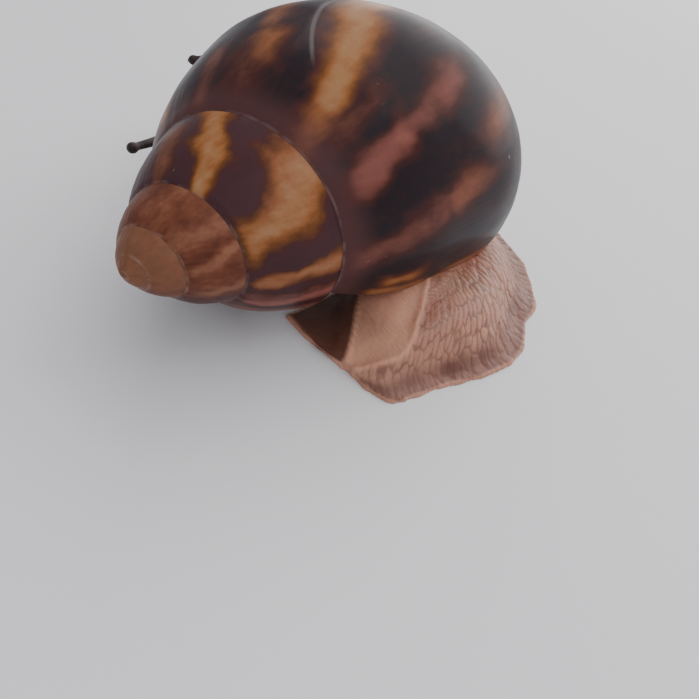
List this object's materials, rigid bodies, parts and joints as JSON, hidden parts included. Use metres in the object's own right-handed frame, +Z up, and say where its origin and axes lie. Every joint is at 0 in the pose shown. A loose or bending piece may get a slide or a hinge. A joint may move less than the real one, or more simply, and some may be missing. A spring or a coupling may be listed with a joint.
{
  "type": "giant african land snail",
  "caption": "Life-size still model of a large banded land snail, turned to its left, with a broad ovate spiral shell and the body curved round beneath it.",
  "frame": {"origin": "centre of the whole outline in plan, on the floor that the sole rests on", "axes": "+Z up; +Y away from a viewer who faces the shell's apex, along the body's longest extent; +X to that viewer's right, with the head reaching towards -X and the outer lip of the shell on the +X side"},
  "size_m": [0.0964, 0.101, 0.052],
  "materials": {
    "shell": "polished horny shell, dark brown flames over chestnut and amber",
    "mantle": "moist smooth skin",
    "flesh": "moist tubercled skin, pinkish tan",
    "tentacle": "moist fine-grained skin, dark brown",
    "eye": "wet black"
  },
  "bodies": {
    "root": {"shell": "shell", "mantle_collar": "mantle", "tail": "flesh", "foot": "flesh", "neck": "flesh", "front_of_sole": "flesh", "head": "flesh", "mouth": "flesh", "upper_tentacle_left_root": "tentacle", "upper_tentacle_left_tip": "tentacle", "upper_tentacle_right_root": "tentacle", "upper_tentacle_right_tip": "tentacle", "lower_tentacle_left": "tentacle", "lower_tentacle_right": "tentacle", "eye_left": "eye", "eye_right": "eye"}
  },
  "joints": []
}
